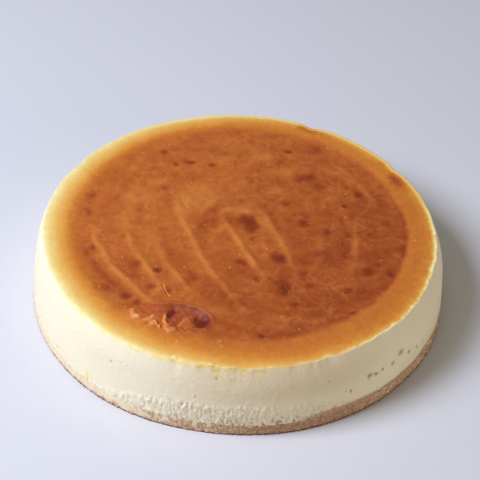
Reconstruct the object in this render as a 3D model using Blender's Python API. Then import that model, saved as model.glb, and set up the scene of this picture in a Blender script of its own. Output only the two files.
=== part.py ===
"""A whole baked lemon cheesecake, about ten inches across.

Two layers run through it: a thin base of pressed biscuit crumb, and a tall filling of set cream
cheese. The filling's top has browned in the oven. It carries the ridges that the poured batter
left, shallow dimples where bubbles scorched, and one torn blister at the front left.

Metres, +Z up. The origin is on the resting plane under the middle, and -Y is the front.
Places on the top are given in cake radii, seen from above.
"""

import math

import bmesh
import bpy
import numpy as np
from mathutils import Vector, noise

# The whole cake
CAKE_RADIUS = 0.124
CAKE_HEIGHT = 0.046
BASE_HEIGHT = 0.0082
LAYER_GAP = 0.0003

# The side: it shrank away from the tin towards the top, and rounds over into the rim
SIDE_TAPER = 0.0045
TAPER_POWER = 2.2
FOOT_TUCK = 0.0010
SHOULDER_WIDTH = 0.0033
SHOULDER_DROP = 0.0037
SIDE_WOBBLE = 0.0008
SIDE_WOBBLE_RATE = 2.6
SIDE_SEED = 11.0

# The line where biscuit meets cheese, and the lumpy crumb below it
LAYER_WAVE = 0.0008
LAYER_WAVE_RATE = 5.0
LAYER_SEED = 7.0
CRUMB_RELIEF = 0.0007
CRUMB_RATE = 260.0
CRUMB_SEED = 5.0

# The browned skin: a sunk disc, set a little off the middle, inside a higher pale rim
SKIN_CENTRE = (0.01, 0.05)
SKIN_RADIUS = 0.80
SKIN_STEP_WIDTH = 0.05
DISH_DEPTH = 0.0012
TOP_WOBBLE = 0.0007
TOP_WOBBLE_RATE = 4.5
TOP_SEED = 3.0

# Ridges: where each starts and ends, how far it bows to its left, and its height
RIDGE_HALF_WIDTH = 0.0022
RIDGE_END_POWER = 0.6
RIDGES = (
    ((-0.35, 0.36), (0.04, -0.55), -0.053, 0.0010),
    ((-0.09, 0.15), (0.17, -0.40), -0.012, 0.0011),
    ((-0.11, 0.12), (0.06, 0.20), 0.035, 0.0009),
    ((0.06, 0.23), (0.29, -0.36), 0.037, 0.0010),
    ((-0.55, -0.03), (-0.32, -0.46), -0.012, 0.0010),
    ((-0.41, -0.08), (-0.16, -0.49), -0.025, 0.0010),
    ((-0.72, 0.02), (-0.37, -0.53), -0.055, 0.0012),
    ((-0.21, 0.08), (-0.04, 0.33), 0.030, 0.0007),
    ((-0.16, -0.03), (-0.05, 0.10), -0.020, 0.0007),
    ((0.54, 0.13), (0.52, -0.30), 0.030, 0.0008),
    ((0.36, 0.05), (0.34, -0.25), 0.045, 0.0007),
    ((0.42, 0.60), (0.67, 0.22), 0.040, 0.0007),
)

# Dimples where bubbles scorched: place, size across and size front to back
DIMPLE_DEPTH = 0.0007
DIMPLES = (
    (0.03, 0.08, 0.045, 0.075),
    (0.19, -0.16, 0.035, 0.030),
    (0.22, -0.38, 0.032, 0.052),
    (0.01, -0.21, 0.032, 0.026),
    (0.27, -0.48, 0.026, 0.026),
    (0.51, -0.37, 0.026, 0.020),
    (0.62, -0.23, 0.028, 0.028),
    (0.78, -0.06, 0.024, 0.030),
    (0.31, 0.11, 0.026, 0.026),
    (0.34, 0.44, 0.060, 0.045),
    (0.23, 0.67, 0.018, 0.018),
    (-0.27, 0.54, 0.024, 0.022),
    (-0.16, 0.53, 0.020, 0.018),
    (-0.53, 0.43, 0.020, 0.020),
    (-0.39, 0.33, 0.026, 0.026),
    (-0.48, -0.26, 0.034, 0.045),
    (-0.38, -0.30, 0.020, 0.020),
    (-0.70, -0.15, 0.016, 0.022),
    (-0.62, -0.44, 0.036, 0.030),
)

# The torn blister: a lens of skin that sank under a raised edge at its back
TEAR_CENTRE = (-0.296, -0.625)
TEAR_HALF_LENGTH = 0.172
TEAR_HALF_WIDTH = 0.085
TEAR_DEPTH = 0.0030
TEAR_FLOOR_POWER = 0.7
TEAR_BACK_SHARE = 0.35
TEAR_LIP = 0.0013
TEAR_LIP_REACH = 1.06
TEAR_LIP_WIDTH = 0.16
TEAR_FOLDS = 3.4
TEAR_FOLD_SLANT = 0.2
TEAR_FOLD_HEIGHT = 0.0007

# Nicks in the rim: direction in degrees, half width in degrees, and depth
NICKS = (
    (69.0, 2.2, 0.0018),
    (36.0, 3.0, 0.0014),
    (-63.0, 2.4, 0.0010),
    (-106.0, 1.8, 0.0012),
    (150.0, 2.5, 0.0008),
)

# How finely the solids are cut
TOP_RINGS = 26
LINE_STEPS = 14
REFINE_REACH = 0.0036
TEAR_REFINE_REACH = 1.25
SHOULDER_STEPS = 3
FILLING_ROWS = 4
BASE_STEPS = 156
BASE_ROWS = 3
CAP_INSET = 0.90
FILLING_SHARP_ANGLE = 60.0
BASE_SHARP_ANGLE = 35.0

SKIN_COLOUR = (0.42, 0.13, 0.026, 1.0)
SKIN_ROUGHNESS = 0.32
CHEESE_COLOUR = (0.86, 0.76, 0.52, 1.0)
CHEESE_ROUGHNESS = 0.55
BISCUIT_COLOUR = (0.52, 0.33, 0.17, 1.0)
BISCUIT_ROUGHNESS = 0.9


def smooth_step(low, high, value):
    share = np.clip((value - low) / (high - low), 0.0, 1.0)
    return share * share * (3.0 - 2.0 * share)


def swells(x, y, z, rate, seed):
    """Soft noise from -1 to 1 at each point, with about rate swells to each unit."""
    places = zip(np.ravel(x) * rate + seed, np.ravel(y) * rate, np.ravel(z) * rate)
    return np.array([noise.noise(Vector(place)) for place in places])


def bowed_line(start, end, bow):
    """Points on a shallow arc from start to end that bulges by bow to the left of its way."""
    first = np.array(start)
    along = np.array(end) - first
    left = np.array((-along[1], along[0])) / np.linalg.norm(along)
    share = np.linspace(0.0, 1.0, LINE_STEPS + 1)[:, None]
    return first + along * share + left * bow * 4.0 * share * (1.0 - share)


def beside_line(u, v, line):
    """Each point's distance to the line, and how far along the line it is, from 0 to 1."""
    away = np.full(len(u), np.inf)
    along = np.zeros(len(u))
    steps = len(line) - 1
    for index in range(steps):
        start, run = line[index], line[index + 1] - line[index]
        share = ((u - start[0]) * run[0] + (v - start[1]) * run[1]) / (run @ run)
        share = np.clip(share, 0.0, 1.0)
        gap = np.hypot(u - start[0] - share * run[0], v - start[1] - share * run[1])
        nearer = gap < away
        away[nearer] = gap[nearer]
        along[nearer] = (index + share[nearer]) / steps
    return away, along


def ridge_relief(u, v):
    """The ridges, each full in the middle and fading out towards its ends."""
    total = np.zeros(len(u))
    for start, end, bow, tall in RIDGES:
        away, along = beside_line(u, v, bowed_line(start, end, bow))
        crest = np.exp(-((away * CAKE_RADIUS / RIDGE_HALF_WIDTH) ** 2))
        fade = np.clip(np.sin(np.pi * along), 0.0, 1.0) ** RIDGE_END_POWER
        total += tall * crest * fade
    return total


def dimple_relief(u, v):
    total = np.zeros(len(u))
    for place_u, place_v, across, deep in DIMPLES:
        spread = ((u - place_u) / across) ** 2 + ((v - place_v) / deep) ** 2
        total -= DIMPLE_DEPTH * np.exp(-spread)
    return total


def tear_relief(u, v):
    """The torn blister: deepest under its back edge, folded across, with a lip round it."""
    side = (u - TEAR_CENTRE[0]) / TEAR_HALF_LENGTH
    back = (v - TEAR_CENTRE[1]) / TEAR_HALF_WIDTH
    reach = np.hypot(side, back)
    inside = np.clip(1.0 - reach**2, 0.0, 1.0)
    tilt = 1.0 - TEAR_BACK_SHARE + TEAR_BACK_SHARE * back
    hollow = TEAR_DEPTH * inside**TEAR_FLOOR_POWER * tilt
    folds = TEAR_FOLD_HEIGHT * inside * np.cos(TEAR_FOLDS * np.pi * (side + TEAR_FOLD_SLANT * back))
    lip = TEAR_LIP * np.exp(-(((reach - TEAR_LIP_REACH) / TEAR_LIP_WIDTH) ** 2)) * tilt
    return lip - hollow + folds


def top_relief(x, y):
    """Height of the browned top above the plane of the rim."""
    u, v = x / CAKE_RADIUS, y / CAKE_RADIUS
    from_skin = np.hypot(u - SKIN_CENTRE[0], v - SKIN_CENTRE[1])
    step = smooth_step(SKIN_RADIUS - SKIN_STEP_WIDTH, SKIN_RADIUS + SKIN_STEP_WIDTH, from_skin)
    dish = (step - 1.0) * DISH_DEPTH
    uneven = TOP_WOBBLE * swells(u, v, np.zeros(len(u)), TOP_WOBBLE_RATE, TOP_SEED)
    return dish + uneven + ridge_relief(u, v) + dimple_relief(u, v) + tear_relief(u, v)


def nick_depth(turn):
    total = np.zeros(len(turn))
    for degrees, half_width, deep in NICKS:
        off = np.degrees(np.angle(np.exp(1j * (turn - math.radians(degrees)))))
        total += deep * np.exp(-((off / half_width) ** 2))
    return total


def side_radius(turn, height):
    """Radius of the side in the direction turn, at a height above the resting plane."""
    height = np.zeros(len(turn)) + height
    taper = SIDE_TAPER * (height / CAKE_HEIGHT) ** TAPER_POWER
    tuck = FOOT_TUCK * (1.0 - smooth_step(0.0, BASE_HEIGHT, height))
    around = (np.cos(turn), np.sin(turn), height / CAKE_HEIGHT)
    return CAKE_RADIUS - taper - tuck + SIDE_WOBBLE * swells(*around, SIDE_WOBBLE_RATE, SIDE_SEED)


def rim_radius(turn):
    """Radius at which the flat top ends and the shoulder begins."""
    shoulder_foot = CAKE_HEIGHT - SHOULDER_DROP
    return side_radius(turn, shoulder_foot) - SHOULDER_WIDTH - nick_depth(turn)


def layer_height(turn):
    """Height at which the biscuit gives way to the cheese, at the side."""
    around = (np.cos(turn), np.sin(turn), np.zeros(len(turn)))
    return BASE_HEIGHT + LAYER_WAVE * swells(*around, LAYER_WAVE_RATE, LAYER_SEED)


def places_of(verts):
    return np.array([vert.co for vert in verts]).reshape(-1, 3)


def turns_of(verts):
    places = places_of(verts)
    return np.arctan2(places[:, 1], places[:, 0])


def place_ring(verts, turn, radius, height):
    """Puts each vertex at its own direction, radius and height."""
    height = np.zeros(len(turn)) + height
    for vert, angle, reach, level in zip(verts, turn, radius, height):
        vert.co = (reach * math.cos(angle), reach * math.sin(angle), level)


def triangle_disc(bm):
    """A disc of even triangles: a hexagon cut into a lattice and pushed out to the rim."""
    bmesh.ops.create_circle(bm, cap_ends=True, cap_tris=True, segments=6, radius=1.0)
    corner_turns = turns_of([vert for vert in bm.verts if vert.is_boundary])
    wall_turns = corner_turns + math.pi / 6.0
    bmesh.ops.subdivide_edges(bm, edges=bm.edges[:], cuts=TOP_RINGS - 1, use_grid_fill=True)
    bmesh.ops.triangulate(bm, faces=[face for face in bm.faces if len(face.verts) > 3])
    towards_walls = places_of(bm.verts)[:, :2] @ np.array((np.cos(wall_turns), np.sin(wall_turns)))
    share = towards_walls.max(axis=1) / math.cos(math.pi / 6.0)
    turn = turns_of(bm.verts)
    place_ring(bm.verts, turn, share * rim_radius(turn), 0.0)


def near_ridge(x, y):
    u, v = x / CAKE_RADIUS, y / CAKE_RADIUS
    near = np.zeros(len(u), bool)
    for start, end, bow, _ in RIDGES:
        away, _ = beside_line(u, v, bowed_line(start, end, bow))
        near |= away * CAKE_RADIUS < REFINE_REACH
    return near


def near_tear(x, y):
    side = (x / CAKE_RADIUS - TEAR_CENTRE[0]) / TEAR_HALF_LENGTH
    back = (y / CAKE_RADIUS - TEAR_CENTRE[1]) / TEAR_HALF_WIDTH
    return np.hypot(side, back) < TEAR_REFINE_REACH


def refine(bm, wanted):
    """Halves the edges whose middles are wanted."""
    middles = np.array([(edge.verts[0].co + edge.verts[1].co) / 2.0 for edge in bm.edges])
    chosen = [edge for edge, keep in zip(bm.edges, wanted(middles[:, 0], middles[:, 1])) if keep]
    bmesh.ops.subdivide_edges(bm, edges=chosen, cuts=1, use_grid_fill=True)
    bmesh.ops.triangulate(bm, faces=[face for face in bm.faces if len(face.verts) > 3])


def pull_row(bm, edges):
    """Pulls a new row of faces out of an open edge loop, and gives its edges and vertices."""
    made = bmesh.ops.extrude_edge_only(bm, edges=edges)["geom"]
    verts = [item for item in made if isinstance(item, bmesh.types.BMVert)]
    return [edge for edge in bm.edges if edge.is_boundary], verts


def pull_cap(bm, edges, height):
    """Closes an open edge loop with a flat face at the height, inside a sloping edge row."""
    edges, verts = pull_row(bm, edges)
    turn = turns_of(verts)
    place_ring(verts, turn, CAP_INSET * side_radius(turn, BASE_HEIGHT), height)
    bmesh.ops.contextual_create(bm, geom=edges)


def finish(bm, name, materials, sharp_angle):
    bmesh.ops.recalc_face_normals(bm, faces=bm.faces)
    mesh = bpy.data.meshes.new(name)
    bm.to_mesh(mesh)
    bm.free()
    for material in materials:
        mesh.materials.append(material)
    mesh.shade_smooth()
    mesh.set_sharp_from_angle(angle=math.radians(sharp_angle))
    made = bpy.data.objects.new(name, mesh)
    bpy.context.collection.objects.link(made)
    return made


def plain_material(name, colour, roughness):
    material = bpy.data.materials.new(name)
    material.use_nodes = True
    shader = material.node_tree.nodes["Principled BSDF"]
    shader.inputs["Base Color"].default_value = colour
    shader.inputs["Roughness"].default_value = roughness
    shader.inputs["Metallic"].default_value = 0.0
    return material


def cheese_filling():
    """The set cheese: browned top, rounded shoulder, tapered side and a wavy underside."""
    bm = bmesh.new()
    triangle_disc(bm)
    refine(bm, near_ridge)
    refine(bm, near_tear)
    refine(bm, near_tear)
    places = places_of(bm.verts)
    for vert, rise in zip(bm.verts, top_relief(places[:, 0], places[:, 1])):
        vert.co.z = CAKE_HEIGHT + rise
    skin_faces = set(bm.faces)

    edges = [edge for edge in bm.edges if edge.is_boundary]
    shoulder_foot = CAKE_HEIGHT - SHOULDER_DROP
    for step in range(1, SHOULDER_STEPS + 1):
        lean = 0.5 * math.pi * step / SHOULDER_STEPS
        edges, verts = pull_row(bm, edges)
        turn = turns_of(verts)
        rim = rim_radius(turn)
        out = side_radius(turn, shoulder_foot) - rim
        start = CAKE_HEIGHT + top_relief(rim * np.cos(turn), rim * np.sin(turn))
        level = shoulder_foot + (start - shoulder_foot) * math.cos(lean)
        place_ring(verts, turn, rim + out * math.sin(lean), level)

    for row in range(1, FILLING_ROWS + 1):
        edges, verts = pull_row(bm, edges)
        turn = turns_of(verts)
        foot = layer_height(turn) + LAYER_GAP
        level = shoulder_foot + (foot - shoulder_foot) * row / FILLING_ROWS
        place_ring(verts, turn, side_radius(turn, level), level)
    pull_cap(bm, edges, BASE_HEIGHT + LAYER_GAP)

    for face in bm.faces:
        face.material_index = 0 if face in skin_faces else 1
    skin = plain_material("browned_skin", SKIN_COLOUR, SKIN_ROUGHNESS)
    cheese = plain_material("set_cheese", CHEESE_COLOUR, CHEESE_ROUGHNESS)
    return finish(bm, "cheese_filling", (skin, cheese), FILLING_SHARP_ANGLE)


def biscuit_base():
    """The pressed crumb: a flat foot, a lumpy wall and a wavy top that fits the filling."""
    bm = bmesh.new()
    bmesh.ops.create_circle(bm, segments=BASE_STEPS, radius=CAKE_RADIUS)
    turn = turns_of(bm.verts)
    place_ring(bm.verts, turn, side_radius(turn, 0.0), 0.0)
    edges = bm.edges[:]
    bmesh.ops.contextual_create(bm, geom=edges)
    for row in range(1, BASE_ROWS + 1):
        edges, verts = pull_row(bm, edges)
        turn = turns_of(verts)
        level = layer_height(turn) * row / BASE_ROWS
        reach = side_radius(turn, level)
        around = (reach * np.cos(turn), reach * np.sin(turn), level)
        crumb = CRUMB_RELIEF * swells(*around, CRUMB_RATE, CRUMB_SEED)
        place_ring(verts, turn, reach + crumb, level)
    pull_cap(bm, edges, BASE_HEIGHT)
    biscuit = plain_material("pressed_biscuit", BISCUIT_COLOUR, BISCUIT_ROUGHNESS)
    return finish(bm, "biscuit_base", (biscuit,), BASE_SHARP_ANGLE)


def main():
    for old in list(bpy.data.objects):
        bpy.data.objects.remove(old)
    cake = bpy.data.objects.new("lemon_cheesecake", None)
    bpy.context.collection.objects.link(cake)
    for layer in (biscuit_base(), cheese_filling()):
        layer.parent = cake


main()
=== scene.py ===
# %% [markdown]
# A whole baked lemon cheesecake, seen from the front and well above. The imported model gives its
# two solids, a biscuit base and a cheese filling, and this lesson dresses them: it builds a finer
# copy of each solid with the same form, and paints the copies by rules that follow their shape.
# The imported model comes first. The frame comes first, because every piece below has to fit the
# box that it gives.

import math

import bmesh
import bpy
import numpy as np
from mathutils import Matrix, Vector, noise


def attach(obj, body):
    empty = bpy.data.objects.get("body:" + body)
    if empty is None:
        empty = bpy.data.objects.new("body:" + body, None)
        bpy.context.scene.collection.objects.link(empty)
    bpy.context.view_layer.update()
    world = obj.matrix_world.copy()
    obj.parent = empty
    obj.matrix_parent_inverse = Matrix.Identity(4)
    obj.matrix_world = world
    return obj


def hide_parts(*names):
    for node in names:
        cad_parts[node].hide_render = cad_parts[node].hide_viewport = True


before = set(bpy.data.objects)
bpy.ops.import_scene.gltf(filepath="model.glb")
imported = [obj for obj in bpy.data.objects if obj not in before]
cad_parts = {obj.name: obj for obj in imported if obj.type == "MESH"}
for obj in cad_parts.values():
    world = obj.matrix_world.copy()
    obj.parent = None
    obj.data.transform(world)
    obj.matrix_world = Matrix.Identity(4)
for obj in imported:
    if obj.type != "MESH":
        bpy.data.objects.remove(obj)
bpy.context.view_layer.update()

# %% [markdown]
# The driving sizes are real ones, in metres: a cake that was baked in a ten inch ring and shrank a
# little as it cooled. Places on the top are given in cake radii, seen from above with the back of
# the cake up, because shares of the radius are easy to read off a round thing.

# %% Sizes of the whole cake
CAKE_RADIUS = 0.124
CAKE_HEIGHT = 0.046
BASE_HEIGHT = 0.0082
SIDE_TAPER = 0.0045
TAPER_POWER = 2.2
FOOT_TUCK = 0.0003
FOOT_SPREAD = 0.0014
SHOULDER_WIDTH = 0.0033
SHOULDER_DROP = 0.0037
print("cake", round(2000 * CAKE_RADIUS), "mm across,", round(1000 * CAKE_HEIGHT), "mm tall")

# %% [markdown]
# Food is smooth in some places and lumpy in others, so most of what follows is soft noise added to
# a clean form. A few helpers do that work: a step with soft ends, which falls where low is above
# high, a soft hump, and noise read at many points at once, in layers that are added up. They take
# and give arrays, which keeps a mesh of a hundred thousand points quick to shape.

# %% Soft steps, humps and noise
def soft_step(low, high, value):
    share = np.clip((value - low) / (high - low), 0.0, 1.0)
    return share * share * (3.0 - 2.0 * share)


def hump(off, half_width, power=2):
    """1 where off is 0, falling to both sides, and more steeply for a higher power."""
    return np.exp(-((off / half_width) ** power))


def swells(x, y, z, rate, seed):
    """Noise from about -1 to 1 at each point, with about rate swells to each unit."""
    across = np.broadcast_arrays(np.asarray(x, float), np.asarray(y, float), np.asarray(z, float))
    places = np.stack([part.ravel() for part in across], axis=1) * rate + (seed, 0.0, 0.0)
    return np.array([noise.noise(Vector(place)) for place in places.tolist()])


def noise_sum(layers, x, y, z=0.0):
    """Layers of noise added up. Each is its strength, its swells to each unit and its seed."""
    return sum(strength * swells(x, y, z, rate, seed) for strength, rate, seed in layers)


def noise_round(layers, turn):
    """The same, read round a circle, so that it closes on itself."""
    return noise_sum(layers, np.cos(turn), np.sin(turn))


print("a step halfway up:", soft_step(0.0, 1.0, np.array([0.5])))

# %% [markdown]
# The batter was poured in loops, and each loop left a low ridge that browned less than the skin
# beside it. A ridge is an arc from one place to another, with a bow to its left. What the relief
# and the colour both need to know is how far each point lies from that arc and how far along it
# the nearest place is, so one function answers both questions for all points.

# %% Ridges that the batter left
RIDGES = (
    ((-0.35, 0.36), (0.04, -0.55), -0.053, 0.0010),
    ((-0.09, 0.15), (0.17, -0.40), -0.012, 0.0011),
    ((-0.11, 0.12), (0.06, 0.20), 0.035, 0.0009),
    ((0.06, 0.23), (0.29, -0.36), 0.037, 0.0010),
    ((-0.55, -0.03), (-0.32, -0.46), -0.012, 0.0010),
    ((-0.41, -0.08), (-0.16, -0.49), -0.025, 0.0010),
    ((-0.72, 0.02), (-0.37, -0.53), -0.055, 0.0012),
    ((-0.21, 0.08), (-0.04, 0.33), 0.030, 0.0007),
    ((-0.16, -0.03), (-0.05, 0.10), -0.020, 0.0007),
    ((0.54, 0.13), (0.52, -0.30), 0.030, 0.0008),
    ((0.36, 0.05), (0.34, -0.25), 0.045, 0.0007),
    ((0.42, 0.60), (0.67, 0.22), 0.040, 0.0007),
    ((-0.03, 0.13), (0.10, 0.15), 0.030, 0.0007),
    ((-0.05, 0.30), (0.12, 0.33), -0.020, 0.0004),
)
RIDGE_HALF_WIDTH = 0.0024
RIDGE_SHARE = 0.64
RIDGE_END_POWER = 0.6
LINE_STEPS = 14
RIDGE_WANDER = ((0.009, 9.0, 13.0), (0.004, 26.0, 14.0))
RIDGE_PATCHES = ((0.7, 13.0, 15.0),)


def bowed_line(start, end, bow):
    """Points on a shallow arc from start to end that bulges by bow to the left of its way."""
    first = np.array(start)
    along = np.array(end) - first
    left = np.array((-along[1], along[0])) / np.linalg.norm(along)
    share = np.linspace(0.0, 1.0, LINE_STEPS + 1)[:, None]
    return first + along * share + left * bow * 4.0 * share * (1.0 - share)


def beside_line(u, v, line):
    """Each point's distance to the line, and how far along the line it is, from 0 to 1."""
    away = np.full(len(u), np.inf)
    along = np.zeros(len(u))
    steps = len(line) - 1
    for index in range(steps):
        start, run = line[index], line[index + 1] - line[index]
        share = ((u - start[0]) * run[0] + (v - start[1]) * run[1]) / (run @ run)
        share = np.clip(share, 0.0, 1.0)
        gap = np.hypot(u - start[0] - share * run[0], v - start[1] - share * run[1])
        nearer = gap < away
        away[nearer] = gap[nearer]
        along[nearer] = (index + share[nearer]) / steps
    return away, along


def ridge_sum(u, v, half_width):
    """The ridges' heights added up, each full in its middle and fading towards its ends."""
    total = np.zeros(len(u))
    wander = noise_sum(RIDGE_WANDER, u, v)
    for start, end, bow, tall in RIDGES:
        away, along = beside_line(u + wander, v + wander, bowed_line(start, end, bow))
        fade = np.clip(np.sin(np.pi * along), 0.0, 1.0) ** RIDGE_END_POWER
        total += RIDGE_SHARE * tall * hump(away * CAKE_RADIUS, half_width) * fade
    return total * (1.0 + noise_sum(RIDGE_PATCHES, u, v))


print(len(RIDGES), "ridges, the tallest", 1000 * max(ridge[3] for ridge in RIDGES), "mm")

# %% [markdown]
# Bubbles that rose through the batter burst under the skin and scorched. Each left a dark spot,
# and the larger ones a dimple with a faint, paler ring too. The ones that show are listed one by
# one, since their places make this cake look like itself: place, half sizes and strength. A few
# small bumps near the rim are listed the same way, and one function adds up any such list.

# %% Scorched spots
SCORCHES = (
    (0.026, 0.115, 0.036, 0.036, 1.0),
    (0.050, 0.060, 0.032, 0.046, 1.0),
    (0.067, -0.034, 0.020, 0.018, 0.5),
    (0.010, -0.206, 0.032, 0.024, 0.8),
    (0.187, -0.162, 0.036, 0.030, 0.9),
    (0.220, -0.382, 0.030, 0.050, 1.0),
    (0.271, -0.477, 0.026, 0.028, 0.6),
    (0.510, -0.367, 0.024, 0.020, 1.1),
    (0.617, -0.233, 0.030, 0.028, 0.8),
    (0.720, -0.242, 0.020, 0.020, 0.6),
    (0.783, -0.063, 0.028, 0.034, 0.6),
    (0.309, 0.111, 0.026, 0.030, 0.7),
    (0.309, 0.458, 0.050, 0.040, 0.7),
    (0.382, 0.400, 0.042, 0.036, 0.6),
    (0.225, 0.672, 0.016, 0.015, 1.0),
    (-0.271, 0.538, 0.024, 0.020, 0.8),
    (-0.160, 0.535, 0.020, 0.016, 0.8),
    (-0.340, 0.515, 0.013, 0.012, 0.7),
    (-0.410, 0.611, 0.018, 0.016, 0.6),
    (-0.525, 0.426, 0.018, 0.018, 0.7),
    (-0.391, 0.334, 0.026, 0.030, 0.5),
    (-0.745, 0.239, 0.020, 0.026, 0.5),
    (-0.745, 0.115, 0.018, 0.026, 0.5),
    (-0.700, -0.147, 0.014, 0.022, 1.0),
    (-0.483, -0.258, 0.030, 0.040, 0.7),
    (-0.382, -0.296, 0.018, 0.018, 1.2),
    (-0.557, -0.057, 0.015, 0.015, 0.6),
    (-0.391, 0.010, 0.014, 0.014, 0.5),
    (-0.400, -0.420, 0.022, 0.022, 0.9),
    (-0.328, -0.430, 0.022, 0.030, 0.8),
    (-0.210, -0.325, 0.032, 0.036, 0.5),
    (-0.620, -0.439, 0.036, 0.030, 0.8),
    (-0.515, -0.487, 0.026, 0.022, 0.8),
    (-0.468, -0.530, 0.024, 0.020, 0.8),
    (-0.134, 0.086, 0.022, 0.045, 0.4),
    (0.214, 0.244, 0.015, 0.014, 0.6),
    (0.267, 0.172, 0.020, 0.020, 0.5),
    (0.363, 0.697, 0.032, 0.024, 0.4),
    (0.038, 0.439, 0.032, 0.026, 0.4),
    (0.630, 0.057, 0.040, 0.050, 0.5),
    (0.573, 0.344, 0.030, 0.030, 0.5),
    (0.506, 0.258, 0.013, 0.012, 0.8),
    (0.706, 0.134, 0.020, 0.022, 0.5),
    (0.334, -0.353, 0.022, 0.022, 0.5),
    (0.118, -0.716, 0.012, 0.016, 0.8),
    (0.535, -0.525, 0.014, 0.014, 0.7),
    (-0.050, -0.780, 0.010, 0.012, 0.7),
    (-0.500, 0.150, 0.020, 0.050, 0.3),
    (0.420, 0.040, 0.022, 0.030, 0.4),
    (0.500, -0.070, 0.026, 0.060, 0.35),
)
DIMPLE_DEPTH = 0.0006
BUMPS = (
    (-0.066, -0.772, 0.008, 0.010, 1.0),
    (-0.060, -0.812, 0.007, 0.008, 0.7),
    (-0.262, -0.790, 0.006, 0.010, 0.7),
    (0.372, 0.800, 0.008, 0.010, 0.8),
    (-0.610, 0.470, 0.006, 0.008, 0.7),
)
BUMP_HEIGHT = 0.0006
SPOT_STEEPNESS = 1.3
RING_SHARE = 0.20
RING_TINT = 0.07
RING_REACH = 1.75
RING_WIDTH = 0.35


def spot_sum(u, v, spots, ring=0.0):
    """The spots added up, each 1 in its middle, less a ring round it where ring is over 0."""
    total = np.zeros(len(u))
    for place_u, place_v, across, deep, strength in spots:
        spread = ((u - place_u) / across) ** 2 + ((v - place_v) / deep) ** 2
        total += strength * hump(spread, 1.0, SPOT_STEEPNESS)
        if ring:
            total -= ring * strength * hump(np.sqrt(spread) - RING_REACH, RING_WIDTH)
    return total


print(len(SCORCHES), "scorched spots")

# %% [markdown]
# One blister at the front left tore. Its skin stands up as a smooth lip along the back, with a
# shaded wall under it, and the floor rises to the front, where shreds and lumps of skin lie. The
# tear is a lens on the top, so each part of it has a place along the lens and across it. Each
# shred gives the relief a height and the colour a tone, from 0 for dark and wet to 1 for pale.
# The notch under the lip and the pocket at the right end get a dark tone too, which is painted
# shade in those hollows.

# %% The torn blister
TEAR_CENTRE = (-0.298, -0.622)
TEAR_HALF_LENGTH = 0.180
TEAR_HALF_WIDTH = 0.092
TEAR_DEPTH = 0.0020
TEAR_LIP = 0.0007
TEAR_NOTCH = (-0.02, 0.52, 0.10, 0.40, 0.0008)
TEAR_POCKET = (0.79, -0.16, 0.22, 0.46, 0.0014)
TEAR_WALL = (1.02, 0.74)
TEAR_SLOPE = (1.05, 0.50)
TEAR_LIP_PLACE = (1.05, 0.09)
TEAR_FRONT_SQUEEZE = 1.15
TEAR_WANDER = ((0.07, 22.0, 41.0),)
TEAR_CRUMPLE = ((0.0001, 42.0, 23.0),)
TEAR_MOTTLE = ((0.16, 60.0, 25.0),)
FLOOR_TONE = 0.40
HOLLOW_SHADE_TONE = 0.10
SHREDS = (
    (-0.92, -0.05, 0.17, 0.00, 0.46, 0.0018, 0.80),
    (-0.84, 0.25, 0.08, -0.18, 0.18, 0.0006, 0.92),
    (-0.70, 0.10, 0.09, -0.20, 0.50, 0.0008, 0.60),
    (-0.54, 0.25, 0.09, -0.12, 0.42, 0.0015, 0.84),
    (-0.45, 0.05, 0.11, -0.52, 0.28, 0.0012, 0.80),
    (-0.36, -0.30, 0.05, -0.55, 0.26, 0.0008, 0.78),
    (-0.30, -0.16, 0.12, 0.05, 0.46, 0.0012, 0.48),
    (-0.25, 0.00, 0.03, -0.72, 0.22, 0.0008, 0.84),
    (-0.16, -0.04, 0.045, -0.10, 0.48, 0.0014, 0.80),
    (-0.07, -0.08, 0.09, -0.80, 0.46, 0.0012, 0.74),
    (0.08, 0.10, 0.09, -0.98, 0.26, 0.0010, 0.72),
    (0.30, 0.26, 0.07, -0.38, 0.52, 0.0012, 0.66),
    (0.46, 0.10, 0.13, -0.30, 0.60, 0.0012, 0.52),
    (0.84, 0.10, 0.24, -1.28, 0.40, 0.0004, 0.56),
    (0.30, -0.55, 0.05, -1.10, 0.36, -0.0004, 0.26),
    (0.48, -0.50, 0.035, -1.10, 0.34, -0.0003, 0.30),
)


def tear_shares(u, v):
    """Where each point is along the tear and across it, with its distance out to the edge."""
    wander = noise_sum(TEAR_WANDER, u, v)
    side = (u - TEAR_CENTRE[0]) / TEAR_HALF_LENGTH + wander
    back = (v - TEAR_CENTRE[1]) / TEAR_HALF_WIDTH + wander
    return side, back, np.hypot(side, back * np.where(back > 0.0, 1.0, TEAR_FRONT_SQUEEZE))


def patch(side, back, place, middle, long, wide):
    """1 in an oval patch of the tear, with steep sides, and 0 outside it."""
    return hump(((side - place) / long) ** 2 + ((back - middle) / wide) ** 2, 1.0)


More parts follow.
